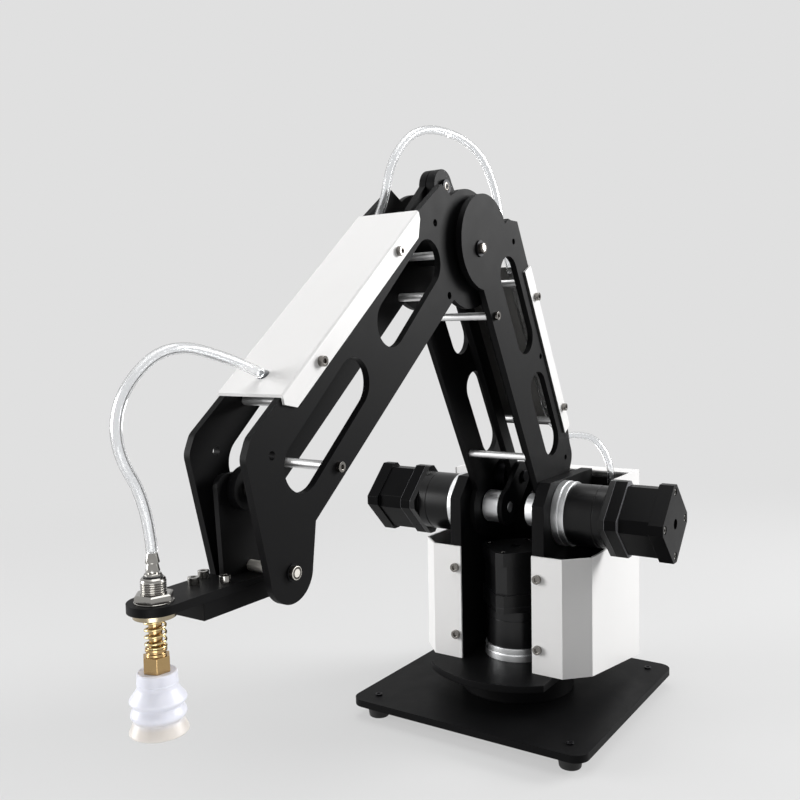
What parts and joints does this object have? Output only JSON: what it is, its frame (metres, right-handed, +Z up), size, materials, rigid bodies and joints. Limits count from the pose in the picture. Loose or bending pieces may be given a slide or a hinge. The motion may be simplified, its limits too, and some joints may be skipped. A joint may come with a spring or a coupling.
{
  "type": "robot arm",
  "caption": "Desktop palletising robot arm: geared stepper motors, plate arms, parallel levelling rods and a sprung bellows suction cup on a turning base.",
  "frame": {"origin": "on the turning axis at floor level, under the feet", "axes": "+X forward towards the tool, +Y towards the lower arm's motor, +Z up"},
  "size_m": [0.4474, 0.237, 0.4086],
  "materials": {
    "black_plate": "satin black anodised plate",
    "white_sheet": "white powder coated sheet",
    "motor_black": "gloss black motor and gearbox housings",
    "bright_steel": "plated steel screws, pins and nuts",
    "turned_aluminium": "turned bright aluminium",
    "foot_rubber": "black rubber feet",
    "brass": "turned brass stem and fitting",
    "spring_brass": "plated spring wire",
    "cup_silicone": "translucent white silicone bellows",
    "clear_hose": "clear flexible hose",
    "fitting_grey": "grey moulded hose fitting"
  },
  "bodies": {
    "base": {"base_plate": "black_plate", "rubber_feet": "foot_rubber", "foot_screws": "bright_steel", "base_pedestal": "black_plate"},
    "turret": {"turret_floor": "black_plate", "turret_plate_near": "black_plate", "turret_plate_far": "black_plate", "turret_back_plate": "black_plate", "turret_cover_near": "white_sheet", "turret_cover_far": "white_sheet", "turret_rear_cover": "white_sheet", "turret_cover_screws": "bright_steel", "level_anchor": "black_plate", "turret_hose_elbow": "fitting_grey", "hose_base_loop": "clear_hose", "near_output_flange": "turned_aluminium", "near_gearbox": "motor_black", "near_motor": "motor_black", "far_output_flange": "turned_aluminium", "far_gearbox": "motor_black", "far_motor": "motor_black", "base_output_flange": "turned_aluminium", "base_gearbox": "motor_black", "base_motor": "motor_black"},
    "lower_arm": {"lower_arm_plate_near": "black_plate", "lower_arm_plate_far": "black_plate", "lower_arm_spacers": "turned_aluminium", "lower_arm_cover": "white_sheet", "lower_arm_screws": "bright_steel", "shoulder_hub": "turned_aluminium", "elbow_shaft": "bright_steel", "hose_lower_run": "clear_hose", "hose_elbow_rear": "clear_hose"},
    "crank": {"crank_plate": "black_plate", "crank_hub": "turned_aluminium"},
    "crank_pin": {"crank_pin": "bright_steel"},
    "push_rod": {"push_rod": "black_plate"},
    "level_rod_lower": {"level_rod_lower": "black_plate"},
    "elbow_rocker": {"elbow_rocker": "black_plate"},
    "forearm": {"forearm_plate_near": "black_plate", "forearm_plate_far": "black_plate", "forearm_spacers": "turned_aluminium", "forearm_cover": "white_sheet", "forearm_screws": "bright_steel", "wrist_shaft": "bright_steel", "forearm_hose_elbow": "fitting_grey", "hose_forearm_run": "clear_hose", "push_rod_pin": "bright_steel", "hose_elbow_front": "clear_hose", "hose_tool_loop": "clear_hose"},
    "level_rod_upper": {"level_rod_upper": "black_plate"},
    "wrist": {"wrist_bracket": "black_plate", "wrist_level_pin": "bright_steel", "tool_block": "black_plate", "tool_plate": "black_plate", "tool_screws": "bright_steel", "stem_bushing": "bright_steel", "plunger_spring": "spring_brass"},
    "plunger": {"suction_stem": "brass", "suction_cup": "cup_silicone"}
  },
  "joints": [
    {"name": "base_yaw", "type": "hinge", "parent": "base", "child": "turret", "pos_m": [0, 0, 0], "axis": [0, 0, 1], "range_deg": [-90, 90]},
    {"name": "shoulder", "type": "hinge", "parent": "turret", "child": "lower_arm", "pos_m": [-0.0025, 0, 0.1472], "axis": [0, 1, 0], "range_deg": [-20, 35], "deforming": ["hose_base_loop"]},
    {"name": "crank_drive", "type": "hinge", "parent": "turret", "child": "crank", "pos_m": [-0.0025, 0, 0.1472], "axis": [0, 1, 0], "range_deg": [-30, 20]},
    {"name": "lower_level_pivot", "type": "hinge", "parent": "turret", "child": "level_rod_lower", "pos_m": [-0.0325, 0, 0.1472], "axis": [0, 1, 0], "range_deg": [-20, 35]},
    {"name": "rocker_pivot", "type": "hinge", "parent": "lower_arm", "child": "elbow_rocker", "pos_m": [0.09931, 0, 0.33087], "axis": [0, 1, 0], "range_deg": [-35, 20], "deforming": ["hose_elbow_rear"]},
    {"name": "elbow", "type": "hinge", "parent": "elbow_rocker", "child": "forearm", "pos_m": [0.09931, 0, 0.33087], "axis": [0, 1, 0], "range_deg": [-30, 20], "deforming": ["hose_elbow_front"]},
    {"name": "crank_pin_pivot", "type": "hinge", "parent": "crank", "child": "crank_pin", "pos_m": [-0.02444, 0, 0.16766], "axis": [0, 1, 0], "range_deg": [-20, 30]},
    {"name": "push_rod_pivot", "type": "hinge", "parent": "crank_pin", "child": "push_rod", "pos_m": [-0.02444, 0, 0.16766], "axis": [0, 1, 0], "range_deg": [-20, 35]},
    {"name": "upper_level_pivot", "type": "hinge", "parent": "elbow_rocker", "child": "level_rod_upper", "pos_m": [0.10331, 0, 0.37037], "axis": [0, 1, 0], "range_deg": [-30, 20]},
    {"name": "wrist", "type": "hinge", "parent": "forearm", "child": "wrist", "pos_m": [0.27483, 0, 0.16719], "axis": [0, 1, 0], "range_deg": [-20, 30], "deforming": ["hose_tool_loop"]},
    {"name": "cup_plunger", "type": "slide", "parent": "wrist", "child": "plunger", "axis": [0, 0, 1], "range_m": [0, 0.006], "stiffness_N_per_m": 400, "deforming": ["plunger_spring"]}
  ],
  "couplings": [
    {"joint": "lower_level_pivot", "follows": "shoulder", "ratio": 1},
    {"joint": "rocker_pivot", "follows": "shoulder", "ratio": -1},
    {"joint": "push_rod_pivot", "follows": "shoulder", "ratio": 1},
    {"joint": "elbow", "follows": "crank_drive", "ratio": 1},
    {"joint": "crank_pin_pivot", "follows": "crank_drive", "ratio": -1},
    {"joint": "upper_level_pivot", "follows": "crank_drive", "ratio": 1},
    {"joint": "wrist", "follows": "crank_drive", "ratio": -1}
  ]
}
